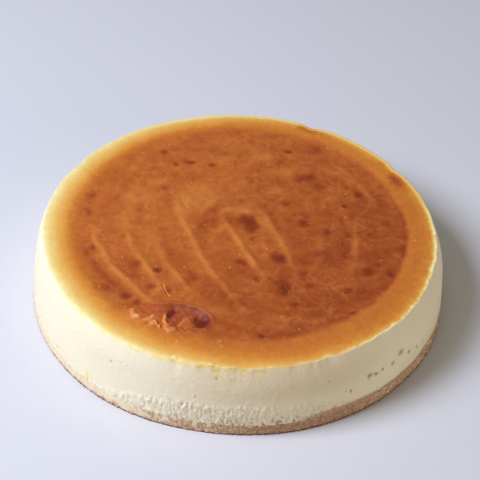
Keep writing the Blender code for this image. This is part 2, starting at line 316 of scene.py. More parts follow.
def tear_form(u, v):
    """Height of the torn blister against the skin round it, and the tone of each place."""
    side, back, reach = tear_shares(u, v)
    wall = soft_step(*TEAR_WALL, reach)
    depth = TEAR_DEPTH * (0.45 + 0.55 * soft_step(-0.9, 0.5, back))
    height = TEAR_LIP * hump(reach - TEAR_LIP_PLACE[0], TEAR_LIP_PLACE[1]) * soft_step(-0.4, 0.4, back)
    height += noise_sum(TEAR_CRUMPLE, u, v * 0.5) * wall
    height -= depth * np.where(back > 0.0, wall, soft_step(*TEAR_SLOPE, reach))
    tone = FLOOR_TONE + noise_sum(TEAR_MOTTLE, u, v * 0.6)
    notch = patch(side, back, *TEAR_NOTCH[:4])
    pocket = patch(side, back, *TEAR_POCKET[:4])
    height -= TEAR_NOTCH[4] * notch + TEAR_POCKET[4] * pocket
    # Painted shade: the notch and the pocket are hollows, and their tone is darkened to match.
    tone += (HOLLOW_SHADE_TONE - tone) * np.maximum(0.9 * notch, pocket)
    for place, slant, half_width, middle, half_length, tall, shred_tone in SHREDS:
        off = side - place - slant * (back - middle)
        shape = hump(off, half_width) * hump(back - middle, half_length, 4)
        height += tall * shape
        tone += (shred_tone - tone) * np.minimum(1.3 * shape, 1.0)
    return height, tone


print("the tear is", round(2000 * TEAR_HALF_LENGTH * CAKE_RADIUS), "mm long, with", len(SHREDS), "shreds")

# %% [markdown]
# The skin browned as a disc that sank a little inside a higher, paler rim, and it is set a little
# off the middle. The top's height is the sum of that dish, slow unevenness, the ridges, the
# dimples, the tear and one short scratch. Fine puckers and wrinkles go on last, and fade out at
# the rim. A wrinkle runs where a slow noise passes zero, which gives thin lines that wander.

# %% Height of the top
SKIN_CENTRE = (0.005, 0.038)
SKIN_RADIUS = 0.80
SKIN_STEP = (0.85, 0.75)
DISH_DEPTH = 0.0012
TOP_WOBBLE = ((0.0007, 4.5, 3.0),)
PUCKERS = ((0.00014, 30.0, 17.0),)
WRINKLE_HEIGHT = 0.00016
WRINKLE_RATES = (9.0, 17.0)
WRINKLE_PATCH_RATE = 6.0
WRINKLE_WIDTH = 0.045
SCRATCH = bowed_line((-0.352, -0.400), (-0.318, -0.478), -0.004)
SCRATCH_HALF_WIDTH = 0.0005
SCRATCH_DEPTH = 0.0005


def scratch_share(u, v):
    away, _ = beside_line(u, v, SCRATCH)
    return hump(away * CAKE_RADIUS, SCRATCH_HALF_WIDTH)


def wrinkles(u, v):
    """1 along thin wandering lines and 0 between them, and patchy along each line."""
    total = np.zeros(len(u))
    for seed, rate in enumerate(WRINKLE_RATES):
        line = hump(swells(u, v * 0.7, 0.0, rate, 151.0 + seed), WRINKLE_WIDTH)
        patchy = soft_step(-0.1, 0.4, swells(u, v, 0.0, WRINKLE_PATCH_RATE, 157.0 + seed))
        total = np.maximum(total, line * patchy)
    return total


def from_skin_centre(u, v):
    return np.hypot(u - SKIN_CENTRE[0], v - SKIN_CENTRE[1])


def top_relief(u, v):
    """Height of the browned top above the plane of the rim, in metres."""
    on_skin = soft_step(*SKIN_STEP, from_skin_centre(u, v))
    height = noise_sum(TOP_WOBBLE, u, v) - DISH_DEPTH * on_skin
    height += on_skin * (noise_sum(PUCKERS, u, v) + WRINKLE_HEIGHT * wrinkles(u, v))
    height += ridge_sum(u, v, RIDGE_HALF_WIDTH) - DIMPLE_DEPTH * spot_sum(u, v, SCORCHES, RING_SHARE)
    height += BUMP_HEIGHT * spot_sum(u, v, BUMPS) - SCRATCH_DEPTH * scratch_share(u, v)
    return height + tear_form(u, v)[0]


print("the dish is", 1000 * DISH_DEPTH, "mm deep")

# %% [markdown]
# The side came clean out of the ring, so it is smooth and wider at the foot than at the rim, most
# of all at the front left. At the rim it turns down sharply, first round a small edge and then in
# a shallow curve. The rim has a few nicks where the skin caught on the metal, and from the front
# round to the right its edge is a pale jagged lip, with a few beads at its left end. The direction
# round the cake is an angle: 0 is right, -90 is the front.

# %% Form of the side and the rim
SIDE_WOBBLE = ((0.0008, 2.6, 11.0),)
LAYER_WAVE = ((0.0008, 5.0, 7.0),)
FOOT_SPREAD_PLACE = (-130.0, 30.0)
FOOT_SPREAD_TOP = 0.035
NICKS = (
    (69.0, 2.2, 0.0018),
    (36.0, 3.0, 0.0014),
    (-63.0, 1.6, 0.0010),
    (-106.0, 1.8, 0.0010),
    (150.0, 2.5, 0.0008),
)
RIM_CHIPS = ((0.0005, 19.0, 29.0), (0.00025, 57.0, 33.0))
EDGE_SIZES = (0.0006, 0.0016)
LIP_TURN = -42.0
LIP_REACH = 58.0
LIP_HEIGHT = 0.0005
LIP_WIDTH = 0.0008
LIP_BREAKS = ((0.9, 13.0, 36.0), (0.7, 47.0, 35.0))
LIP_TUFT = (-63.0, 1.3, 0.9)
RIM_BEADS = (
    (-106.8, 0.42, 0.0008),
    (-104.2, 0.50, 0.0004),
    (-98.6, 0.60, 0.0003),
    (-96.2, 0.60, 0.0005),
    (-118.0, 0.60, 0.0003),
    (-90.5, 0.70, 0.0004),
)


def degrees_off(turn, degrees):
    """How far each direction is from the one in degrees, from -180 to 180."""
    return np.degrees(np.angle(np.exp(1j * (turn - math.radians(degrees)))))


def hump_round(turn, degrees, half_width, height=1.0, power=2):
    """A soft hump in one direction round the cake, and 0 in the others."""
    return height * hump(degrees_off(turn, degrees), half_width, power)


def side_radius(turn, height):
    """Radius of the side in the direction turn, at a height above the resting plane."""
    taper = SIDE_TAPER * (height / CAKE_HEIGHT) ** TAPER_POWER
    tuck = FOOT_TUCK * soft_step(BASE_HEIGHT, 0.0, height)
    spread = FOOT_SPREAD * hump_round(turn, *FOOT_SPREAD_PLACE) * soft_step(FOOT_SPREAD_TOP, 0.0, height)
    wobble = noise_sum(SIDE_WOBBLE, np.cos(turn), np.sin(turn), height / CAKE_HEIGHT)
    return CAKE_RADIUS - taper - tuck + spread + wobble


def lip_share(turn):
    """1 where the rim broke off as a jagged lip, at the front right, and 0 elsewhere."""
    return soft_step(1.1, 0.85, np.abs(degrees_off(turn, LIP_TURN)) / LIP_REACH)


def rim_radius(turn):
    """Radius at which the top ends and the side begins to turn down."""
    nicks = sum(hump_round(turn, *nick) for nick in NICKS)
    shoulder_foot = side_radius(turn, CAKE_HEIGHT - SHOULDER_DROP)
    return shoulder_foot - SHOULDER_WIDTH - nicks + noise_round(RIM_CHIPS, turn)


def lip_tallness(turn):
    """How tall and pale the jagged lip is: it is broken up, and thickest at the right."""
    thick = 0.12 + 0.60 * soft_step(-82.0, -50.0, np.degrees(turn)) + hump_round(turn, *LIP_TUFT)
    return np.clip(thick + noise_round(LIP_BREAKS, turn), 0.0, 1.2) * lip_share(turn)


def beads(turn, inset):
    """Height of the beads that stand on the rim, at a distance inside it."""
    across = hump(inset - 0.5 * LIP_WIDTH, 1.3 * LIP_WIDTH)
    return across * sum(hump_round(turn, *bead) for bead in RIM_BEADS)


def rim_relief(turn, inset):
    """Height of the jagged lip and the beads, at a distance inside the rim."""
    return LIP_HEIGHT * lip_tallness(turn) * hump(inset, LIP_WIDTH) + beads(turn, inset)


def layer_height(turn):
    """Height at which the biscuit gives way to the cheese, at the side."""
    return BASE_HEIGHT + noise_round(LAYER_WAVE, turn)


print(len(NICKS), "nicks and", len(RIM_BEADS), "beads on the rim")

# %% [markdown]
# Close up, the side has four kinds of mark. Small bubbles broke at the surface and left pits: the
# ones that show at the front are listed, and the rest are drawn at random. A few yellow flecks of
# cheese stuck on high up. A weak line at the front right opened into a row of larger holes. And
# low down at the front the cheese clung to the ring, which left a band of knobs, drawn upwards.

# %% Marks on the side
PITS = (
    (-156.0, 0.0280, 0.0006),
    (-146.0, 0.0106, 0.0008),
    (-152.5, 0.0109, 0.0006),
    (-124.5, 0.0300, 0.0007),
    (-102.9, 0.0197, 0.0008),
    (-101.5, 0.0205, 0.0006),
    (-99.5, 0.0267, 0.0006),
    (-97.0, 0.0177, 0.0007),
    (-94.5, 0.0395, 0.0009),
    (-90.3, 0.0385, 0.0006),
    (-63.9, 0.0320, 0.0006),
    (-58.6, 0.0206, 0.0007),
    (-55.3, 0.0320, 0.0005),
    (-44.8, 0.0385, 0.0005),
)
FLECKS = (
    (-94.6, 0.0405, 0.0011),
    (-93.2, 0.0392, 0.0007),
    (-89.8, 0.0402, 0.0009),
    (-119.8, 0.0333, 0.0007),
    (-121.3, 0.0338, 0.0006),
    (-99.9, 0.0264, 0.0006),
    (-83.3, 0.0391, 0.0008),
    (-74.4, 0.0341, 0.0008),
    (-75.6, 0.0352, 0.0005),
    (-78.8, 0.0272, 0.0005),
)
FLECK_HEIGHT = 0.0004
PIT_COUNT = 60
PIT_SIZES = (0.0004, 0.0009)
PIT_DEPTH = 0.0004
HOLE_RAGS = ((1.3, 800.0, 31.0),)
CRACKS = (
    (-57.0, 0.0195, 0.0009),
    (-50.8, 0.0243, 0.0017),
    (-48.5, 0.0230, 0.0013),
    (-46.2, 0.0239, 0.0009),
    (-42.2, 0.0231, 0.0014),
    (-38.9, 0.0270, 0.0020),
    (-35.1, 0.0219, 0.0013),
    (-30.8, 0.0193, 0.0011),
    (-27.0, 0.0172, 0.0009),
)
CRACK_DEPTH = 0.0012
KNOB_HEIGHT = 0.0006
KNOB_LAYERS = ((1.0, 580.0, 43.0), (0.6, 1276.0, 45.0))
KNOB_STRETCH = 0.38
KNOB_PLACE = (-89.0, 30.0)
KNOB_LEVELS = (BASE_HEIGHT + 0.0015, 0.0225)
KNOB_RAGS = ((0.0035, 16.0, 37.0), (0.0030, 60.0, 39.0))
chance = np.random.default_rng(12)
hidden_pits = np.stack((
    chance.uniform(15.0, 190.0, PIT_COUNT),
    chance.uniform(BASE_HEIGHT + 0.002, CAKE_HEIGHT - SHOULDER_DROP - 0.001, PIT_COUNT),
    chance.uniform(*PIT_SIZES, PIT_COUNT),
), axis=1)
all_pits = np.vstack((PITS, hidden_pits))


def holes_at(turn, height, places):
    """Depth share of round holes, 1 in the middle of each, with ragged edges."""
    total = np.zeros(len(turn))
    ragged = np.maximum(1.0 + noise_sum(HOLE_RAGS, turn * CAKE_RADIUS, height), 0.3)
    for degrees, level, size in places:
        across = np.radians(degrees_off(turn, degrees)) * CAKE_RADIUS
        spread = (across**2 + (height - level) ** 2) / size**2
        total = np.maximum(total, np.exp(-spread * ragged))
    return total


def knob_band(turn, height):
    """1 in the rough band above the biscuit, which is tall at the front and low elsewhere."""
    front = hump_round(turn, *KNOB_PLACE, power=4)
    low, high = KNOB_LEVELS
    top = low + (high - low) * front + noise_round(KNOB_RAGS, turn) * (0.3 + 0.7 * front)
    return soft_step(top + 0.001, top - 0.003, height)


def knobs(turn, height):
    """Relief of the knobs that clung to the ring, from about -1 to 1."""
    around = (np.cos(turn) * CAKE_RADIUS, np.sin(turn) * CAKE_RADIUS, height * KNOB_STRETCH)
    return noise_sum(KNOB_LAYERS, *around)


def side_relief(turn, height):
    """How far the side stands out from its clean form, in metres."""
    relief = KNOB_HEIGHT * knobs(turn, height) * knob_band(turn, height)
    relief += FLECK_HEIGHT * holes_at(turn, height, FLECKS) - PIT_DEPTH * holes_at(turn, height, all_pits)
    return relief - CRACK_DEPTH * holes_at(turn, height, CRACKS)


print(len(all_pits), "pits up to", 2000 * PIT_SIZES[1], "mm across")

# %% [markdown]
# The filling needs an even mesh: a lattice of triangles has no pole in the middle, where a fan of
# long thin triangles would show in the gloss. A hexagon of six triangles is cut into rows and
# pushed out to a circle, with its outer rows closer together for the rim. The rim is pulled down
# once for the wall, the wall is cut into rows, and the foot is closed. The lattice is halved
# twice where the small things are: at the tear, and at a scratch behind it.

# %% A drum with a lattice on top
TOP_RINGS = 116
WALL_ROWS = 42
RIM_CLOSENESS = 0.12
RIM_CLOSE_POWER = 6.0
FINE_PLACES = ((-0.298, -0.622, 0.217, 0.128), (-0.335, -0.439, 0.026, 0.050))
FINE_WALL = (-86.0, 42.0, 0.62)


def triangulate_rest(bm):
    bmesh.ops.triangulate(bm, faces=[face for face in bm.faces if len(face.verts) > 3])


def edge_middles(bm):
    return np.array([(edge.verts[0].co + edge.verts[1].co) / 2.0 for edge in bm.edges])


def halve_edges(bm, marked):
    """Cuts the marked edges in half, and the faces beside them to match."""
    chosen = [edge for edge, mark in zip(bm.edges, marked) if mark]
    bmesh.ops.subdivide_edges(bm, edges=chosen, cuts=1, use_grid_fill=True)
    triangulate_rest(bm)


def halve_fine_places(bm):
    """Halves the edges whose middles lie in one of the ellipses of FINE_PLACES."""
    x, y, _ = edge_middles(bm).T * (CAKE_RADIUS - SIDE_TAPER - SHOULDER_WIDTH) / CAKE_RADIUS
    near = np.zeros(len(x), bool)
    for place_u, place_v, across, deep in FINE_PLACES:
        near |= np.hypot((x - place_u) / across, (y - place_v) / deep) < 1.0
    halve_edges(bm, near)


def lattice_drum():
    """A closed drum, radius 1 and from 1 down to 0, with an even lattice for its lid."""
    bm = bmesh.new()
    bmesh.ops.create_circle(bm, cap_ends=True, cap_tris=True, segments=6, radius=1.0)
    corners = np.array([vert.co for vert in bm.verts if vert.is_boundary])
    walls = np.arctan2(corners[:, 1], corners[:, 0]) + math.pi / 6.0
    bmesh.ops.subdivide_edges(bm, edges=bm.edges[:], cuts=TOP_RINGS - 1, use_grid_fill=True)
    triangulate_rest(bm)
    places = np.array([vert.co for vert in bm.verts])[:, :2]
    share = (places @ np.array((np.cos(walls), np.sin(walls)))).max(axis=1) / math.cos(math.pi / 6.0)
    reach = share * (1.0 + RIM_CLOSENESS) - RIM_CLOSENESS * share**RIM_CLOSE_POWER
    stretch = reach / np.maximum(np.hypot(places[:, 0], places[:, 1]), 1e-9)
    for vert, place in zip(bm.verts, places * stretch[:, None]):
        vert.co = (place[0], place[1], 1.0)
    halve_fine_places(bm)
    halve_fine_places(bm)
    return bm


def drop_wall(bm, rows):
    """Pulls the open edge down by 1, cuts the wall into rows and closes the foot."""
    rim = [edge for edge in bm.edges if len(edge.link_faces) < 2]
    pulled = bmesh.ops.extrude_edge_only(bm, edges=rim)["geom"]
    foot = [item for item in pulled if isinstance(item, bmesh.types.BMVert)]
    bmesh.ops.translate(bm, verts=foot, vec=(0.0, 0.0, -1.0))
    upright = [edge for vert in foot for edge in vert.link_edges if not edge.is_boundary]
    bmesh.ops.subdivide_edges(bm, edges=upright, cuts=rows - 1, use_grid_fill=True)
    bmesh.ops.contextual_create(bm, geom=[edge for edge in bm.edges if edge.is_boundary])


def halve_fine_wall(bm):
    """Halves the quads of the wall where the knobs are: at the front, in the lower part."""
    degrees, reach, top = FINE_WALL
    x, y, z = edge_middles(bm).T
    off = np.abs(degrees_off(np.arctan2(y, x), degrees))
    halve_edges(bm, (off < reach) & (z < top) & (np.hypot(x, y) > 0.99))


def as_object(bm, name):
    """Turns a bmesh into a smooth object and puts it in the scene."""
    bmesh.ops.recalc_face_normals(bm, faces=bm.faces)
    mesh = bpy.data.meshes.new(name)
    bm.to_mesh(mesh)
    bm.free()
    mesh.shade_smooth()
    piece = bpy.data.objects.new(name, mesh)
    bpy.context.scene.collection.objects.link(piece)
    return piece


def triangle_count(piece):
    return sum(len(face.vertices) - 2 for face in piece.data.polygons)


drum = lattice_drum()
drop_wall(drum, WALL_ROWS)
halve_fine_wall(drum)
filling = as_object(drum, "baked_filling")
print("the filling has", len(filling.data.vertices), "points and", triangle_count(filling), "triangles")

# %% [markdown]
# Every point of the drum now goes to its place on the cake. A point of the lid keeps its share of
# the radius and takes its height from the top's relief. A point of the wall keeps its share of
# the way down: the first rows turn round the edge, and the rest run down to the biscuit, curving
# out to the clean side over the first centimetre and a half.

# %% The filling's form
EDGE_ROWS = 4
EDGE_TURN = math.radians(62.0)
FLARE_DROP = 0.015
FOOT_OVERLAP = 0.0004


def read_points(piece):
    flat = np.zeros(3 * len(piece.data.vertices))
    piece.data.vertices.foreach_get("co", flat)
    return flat.reshape(-1, 3)


def write_points(piece, turn, radius, height):
    """Puts the points at their direction, distance from the middle, and height."""
    points = np.stack([radius * np.cos(turn), radius * np.sin(turn), height], axis=1)
    piece.data.vertices.foreach_set("co", points.astype(np.float32).ravel())
    piece.data.update()


drum_points = read_points(filling)
turn = np.arctan2(drum_points[:, 1], drum_points[:, 0])
rows_down = (1.0 - drum_points[:, 2]) * WALL_ROWS
on_top = rows_down < 0.5
rim = rim_radius(turn)
edge_size = EDGE_SIZES[1] + (EDGE_SIZES[0] - EDGE_SIZES[1]) * lip_share(turn)
flat_radius = rim * np.where(on_top, np.hypot(drum_points[:, 0], drum_points[:, 1]), 1.0)
u = flat_radius * np.cos(turn) / CAKE_RADIUS
v = flat_radius * np.sin(turn) / CAKE_RADIUS
top_height = CAKE_HEIGHT + top_relief(u, v) + rim_relief(turn, rim - flat_radius)

edge_turn = EDGE_TURN * np.clip(rows_down / EDGE_ROWS, 0.0, 1.0)
edge_radius = rim + edge_size * np.sin(edge_turn)
edge_height = top_height - edge_size * (1.0 - np.cos(edge_turn))
down = np.clip((rows_down - EDGE_ROWS) / (WALL_ROWS - EDGE_ROWS), 0.0, 1.0)
height = edge_height + (layer_height(turn) - FOOT_OVERLAP - edge_height) * down
flare = (1.0 - np.clip((edge_height - height) / FLARE_DROP, 0.0, 1.0)) ** 2
gap = side_radius(turn, np.minimum(edge_height, CAKE_HEIGHT)) - edge_radius
wall_radius = side_radius(turn, np.minimum(height, CAKE_HEIGHT)) - gap * flare
wall_radius += side_relief(turn, height) * soft_step(0.0, 0.1, down)
radius = np.where(on_top, flat_radius, np.where(down > 0.0, wall_radius, edge_radius))
write_points(filling, turn, radius, np.where(on_top, top_height, height))
print("the filling spans", [round(side, 4) for side in filling.dimensions])

# %% [markdown]
# How brown each place is can be one number: 0 is pale cheese, 1 is the well browned skin and more
# is scorched. It is worked out at every point from the same lists that shaped the relief, and is
# kept as an attribute of the mesh, so that colour and relief can't drift apart. The skin is
# darkest at the front right. Outside it the rim is amber, which pales evenly outwards at the left
# and the front, and at the right stays amber nearly to the edge. A pale lip ends it there. Thin
# marks skin that looks pinkish, since it lies thin on a ridge; it and the ridges' paling are set
# off to each ridge's lit left side, which is painted light. Side shade marks painted shade on the
# cheese under the front rim.

# %% How brown each place is
SKIN_LEVEL = 0.92
SKIN_SLOPE = 0.10
SKIN_PALE_TURN = math.radians(145.0)
SKIN_CLOUDS = ((0.07, 5.0, 61.0), (0.06, 13.0, 67.0), (0.035, 36.0, 69.0))
SWIRL_CENTRE = (0.27, 0.12)
SWIRL_RATE = 17.0
SWIRLS = ((0.09, 1.3, 71.0),)
SCORCH_SHARE = 0.33
BLOTCH_SHARE = 0.15
BLOTCH_COUNT = 170
WARP_U = ((0.012, 16.0, 51.0), (0.006, 44.0, 52.0))
WARP_V = ((0.012, 16.0, 57.0), (0.006, 44.0, 58.0))
PATCH_SHARE = 0.11
SCRATCH_SHARE = 0.35
WRINKLE_SHARE = 0.07
RIDGE_LIT_SIDE = 0.008
RIDGE_PALING_ON_LIT_SIDE = ((115.0, 0.0015), (105.0, 0.0038))
THIN_CLOUDS = ((0.3, 24.0, 75.0),)
PALE_WIDTH = 0.0016
SKIN_EDGE = ((0.010, 9.0, 73.0),)
RIM_AMBER = 0.70
RIM_CLOUDS = ((0.05, 8.0, 79.0), (0.03, 40.0, 83.0))
AMBER_START = 0.795
BAND_WIDTH = 0.018
BAND_TURN = 55.0
WORN_TURN = -136.0
WORN_EDGE = ((0.010, 30.0, 88.0), (0.006, 85.0, 89.0))
LIGHT_PATCHES = (
    (-0.21, 0.28, 0.075, 0.090, 1.0),
    (-0.29, 0.20, 0.035, 0.130, 0.9),
    (-0.515, 0.248, 0.075, 0.080, 0.9),
    (-0.56, 0.05, 0.050, 0.090, 0.6),
    (0.095, 0.610, 0.055, 0.035, 1.2),
    (0.43, 0.52, 0.040, 0.030, 0.5),
    (-0.02, 0.175, 0.075, 0.020, 1.2),
    (0.25, -0.62, 0.120, 0.050, 0.4),
    (-0.12, -0.56, 0.160, 0.040, 0.6),
    (-0.44, -0.10, 0.060, 0.120, 0.5),
    (-0.40, 0.36, 0.040, 0.030, 0.9),
    (0.16, 0.34, 0.050, 0.050, 0.5),
)
CREASES = (
    ((-0.755, -0.10), (-0.42, -0.54), -0.055, 0.018, 0.16),
    ((-0.13, 0.10), (-0.23, -0.03), -0.020, 0.010, 0.10),
    ((0.45, 0.20), (0.47, -0.20), 0.060, 0.012, 0.10),
    ((0.36, -0.28), (0.20, -0.10), 0.060, 0.012, 0.08),
    ((-0.60, 0.46), (-0.72, 0.10), 0.060, 0.020, 0.10),
    ((-0.50, 0.58), (0.00, 0.60), 0.060, 0.022, 0.10),
    ((0.25, 0.895), (0.38, 0.83), 0.000, 0.026, 0.45),
    ((0.72, 0.53), (0.80, 0.40), 0.000, 0.026, 0.40),
)
chance = np.random.default_rng(21)
blotches = []
while len(blotches) < BLOTCH_COUNT:
    place = chance.uniform(-0.84, 0.84, 2)
    size = 0.008 + 0.020 * chance.random() ** 2
    strength = chance.uniform(0.25, 0.8) * (1.0 if len(blotches) % 2 else -0.9)
    if np.hypot(*place) < 0.82:
        across, deep = size * chance.uniform(0.8, 1.5), size * chance.uniform(0.8, 1.5)
        blotches.append((*place, across, deep, strength))


def skin_browning(u, v):
    """How brown the skin is, without its amber rim."""
    warped = u + noise_sum(WARP_U, u, v), v + noise_sum(WARP_V, u, v)
    toward_pale = np.cos(np.arctan2(v, u) - SKIN_PALE_TURN) * soft_step(0.0, 0.5, np.hypot(u, v))
    level = SKIN_LEVEL - SKIN_SLOPE * toward_pale + noise_sum(SKIN_CLOUDS, u, v)
    swirl_u, swirl_v = u - SWIRL_CENTRE[0], v - SWIRL_CENTRE[1]
    swirl_reach = np.hypot(swirl_u, swirl_v) + 1e-12
    level += noise_sum(SWIRLS, swirl_u / swirl_reach, swirl_v / swirl_reach, swirl_reach * SWIRL_RATE)
    level += SCORCH_SHARE * spot_sum(*warped, SCORCHES, RING_TINT)
    level += BLOTCH_SHARE * spot_sum(*warped, blotches, RING_TINT)
    level -= PATCH_SHARE * spot_sum(*warped, LIGHT_PATCHES) + WRINKLE_SHARE * wrinkles(u, v)
    # The scratch's and the ridges' paling are set off towards their lit side, so part of it is painted
    # light.
    level -= SCRATCH_SHARE * scratch_share(u - 0.5 * RIDGE_LIT_SIDE, v)
    for share, half_width in RIDGE_PALING_ON_LIT_SIDE:
        level -= share * ridge_sum(u + RIDGE_LIT_SIDE, v, half_width)
    return level


def thin_skin(u, v):
    """Thin, pinkish skin on the ridges, set to their lit side as painted light, light patches and wrinkles.
    """
    share = 520.0 * ridge_sum(u + RIDGE_LIT_SIDE, v, 0.0022) + 0.45 * spot_sum(u, v, LIGHT_PATCHES)
    return np.clip(share + 0.35 * wrinkles(u, v) + noise_sum(THIN_CLOUDS, u, v), 0.0, 1.0)


def crease_browning(u, v):
    """Extra brown in the hollows between loops of batter, and in two burnt places at the rim."""
    total = np.zeros(len(u))
    for start, end, bow, half_width, strength in CREASES:
        away, along = beside_line(u, v, bowed_line(start, end, bow))
        total += strength * hump(away, half_width) * np.sin(np.pi * np.clip(along, 0.05, 0.95))
    return total


def amber_level(turn, edge):
    """How brown the rim is, where edge is 0 beside the skin and 1 at the edge of the cake."""
    toward_right = 0.5 + 0.5 * np.cos(turn - math.radians(10.0))
    toward_front = np.clip(-np.sin(turn), 0.0, 1.0)
    outer = np.minimum(0.36, 0.22 + 0.17 * np.cos(turn) + 0.05 * toward_front)
    return outer + (RIM_AMBER - outer) * (1.0 - edge ** (1.0 + 2.2 * toward_right**2))


def browning(u, v):
    """How brown the top is: the skin inside, and the amber rim that pales to the edge."""
    turn = np.arctan2(v, u)
    half_step = 0.034 - 0.020 * np.cos(turn - math.radians(10.0))
    off_edge = from_skin_centre(u, v) + noise_sum(SKIN_EDGE, u, v) - SKIN_RADIUS
    outside = soft_step(-half_step, half_step, off_edge)
    rim_share = rim_radius(turn) / CAKE_RADIUS
    from_rim = rim_share - np.hypot(u, v)
    edge = np.clip(1.0 - from_rim / (rim_share - AMBER_START), 0.0, 1.0)
    amber = amber_level(turn, edge) + noise_sum(RIM_CLOUDS, u, v)
    level = np.minimum(skin_browning(u, v), 1.5) * (1.0 - outside) + amber * outside
    # The listed bumps are painted paler, a painted highlight on each.
    level += crease_browning(u, v) - 0.25 * spot_sum(u, v, BUMPS)
    pale_band = soft_step(1.3 * BAND_WIDTH, 0.4 * BAND_WIDTH, from_rim)
    pale_band *= soft_step(85.0, 55.0, np.abs(degrees_off(turn, BAND_TURN)))
    worn = soft_step(0.020, -0.004, from_rim - 0.004 - noise_sum(WORN_EDGE, u, v))
    worn *= soft_step(50.0, 34.0, np.abs(degrees_off(turn, WORN_TURN)))
    return level * (1.0 - 0.5 * pale_band) * (1.0 - 0.3 * worn)


def side_yellow(turn, height):
    """A yellow streak low at the left, flecks, and ragged yellow fuzz under the front rim."""
    around = (np.cos(turn), np.sin(turn), height / CAKE_HEIGHT)
    streak = hump_round(turn, -132.0, 0.55) * soft_step(0.0155, 0.0125, height)
    streak *= 1.0 + noise_sum(((0.6, 30.0, 86.0),), *around)
    ragged = np.clip(0.3 + noise_sum(((1.5, 34.0, 87.0),), *around), 0.0, 1.0)
    reach = 0.0016 * (1.0 + hump_round(turn, -92.0, 14.0))
    fuzz = ragged * hump_round(turn, -110.0, 38.0, power=4) * hump(CAKE_HEIGHT - height, reach)
    return 0.13 * streak + 0.22 * fuzz + 0.09 * holes_at(turn, height, FLECKS)


def painted_side_shade(turn, height):
    """Painted shade on the cheese at the front and a little to the right, most of all under the rim."""
    return hump_round(turn, -78.0, 28.0, power=4) * (0.40 + 0.60 * soft_step(0.019, 0.030, height))


def write_attribute(piece, name, values):
    attribute = piece.data.attributes.new(name, "FLOAT", "POINT")
    attribute.data.foreach_set("value", values.astype(np.float32))
    print(name, "from", round(float(values.min()), 2), "to", round(float(values.max()), 2))


def write_side(name, values):
    """An attribute of the filling that is 0 on its top."""
    write_attribute(filling, name, np.where(on_top, 0.0, values))


inset = rim - flat_radius
lip_reach = np.maximum(PALE_WIDTH * (1.0 + noise_sum(((0.9, 55.0, 38.0),), u, v)), 0.0002)
pale_lip = np.minimum(lip_tallness(turn) * hump(inset, lip_reach), 1.0)
# The beads are painted pale: partly their own unbrowned cheese, partly a painted highlight.
pale_and_lit_beads = np.minimum(beads(turn, inset) / (1.4 * LIP_HEIGHT), 1.0)
edge_fade = soft_step(1.25, 0.4, rows_down / EDGE_ROWS * (1.0 + 1.5 * lip_share(turn)))
brown = np.zeros(len(u))
near_top = rows_down < 2.0 * EDGE_ROWS
brown[near_top] = browning(u[near_top], v[near_top])
brown *= np.where(on_top, 1.0, edge_fade) * (1.0 - 0.8 * pale_lip) * (1.0 - 0.8 * pale_and_lit_beads)
brown += np.where(on_top, 0.0, side_yellow(turn, height) * (1.0 - edge_fade))
write_attribute(filling, "browning", brown)
write_side("tan", painted_side_shade(turn, height))
thin = np.zeros(len(u))
inner = on_top & (np.hypot(u, v) < SKIN_RADIUS)
thin[inner] = thin_skin(u[inner], v[inner])
write_attribute(filling, "thin", thin)

# %% [markdown]
# The tear and the side need a few more numbers of the same kind. Torn is 1 inside the tear, tone
# is how light each place in it is, with painted shade in its hollows, and wall is the shaded drop
# at its back, whose colour is later painted light at its left and painted shade at its right.
# Holes marks the pits and the weak line of the side, which are yellower than the clean cheese.
# Rough is the knobbly band. Gaps is where biscuit dust caught: deep between the knobs, and in a
# low ragged strip above the base at the right.

# %% Torn, tone, wall, holes, rough and gaps
DUST_REACH = 0.0028
DUST_TURN = -24.0
_, tear_back, tear_reach = tear_shares(u, v)
tone = tear_form(u, v)[1]
shreds_past_edge = 0.9 * soft_step(0.45, 0.75, tone) * (tear_reach < 1.5)
torn_share = np.maximum(soft_step(1.05, 0.97, tear_reach), shreds_past_edge)
write_attribute(filling, "torn", np.where(on_top, torn_share, 0.0))
write_attribute(filling, "tone", np.where(on_top, tone, 0.0))
write_attribute(filling, "wall", soft_step(0.0, 0.5, tear_back) * soft_step(0.55, 0.85, tear_reach))
cracks = 1.3 * holes_at(turn, height, CRACKS)
write_side("holes", np.maximum(holes_at(turn, height, all_pits), cracks))
rough = np.where(on_top, 0.0, knob_band(turn, height))
write_attribute(filling, "rough", rough)
low_down = 0.20 + 0.80 * soft_step(0.015, BASE_HEIGHT, height)
caught = 0.35 + 0.65 * soft_step(-110.0, -84.0, np.degrees(turn))
dust = rough * soft_step(0.15, -0.45, knobs(turn, height)) * low_down * caught
uneven = noise_round(((0.4, 12.0, 95.0),), turn)
uneven += noise_sum(((0.3, 900.0, 96.0),), turn * CAKE_RADIUS, height)
dust_top = layer_height(turn) + DUST_REACH * (1.0 + uneven)
at_right = soft_step(55.0, 38.0, np.abs(degrees_off(turn, DUST_TURN)))
strip = at_right * soft_step(dust_top + 0.0010, dust_top - 0.0012, height)
write_attribute(filling, "gaps", np.maximum(dust, strip))
print(int(np.sum(on_top & (torn_share > 0.5))), "points of the top are torn")

# %% [markdown]
# Shader nodes are easier to read as sums. The class below wraps a socket, so that adding or
# multiplying two of them, or one and a plain number, makes the Math node and wraps its result.
# Finish starts a material and makes every other node: its settings are set first, since some of
# them change which sockets the node has, and then its sockets get their values or links.

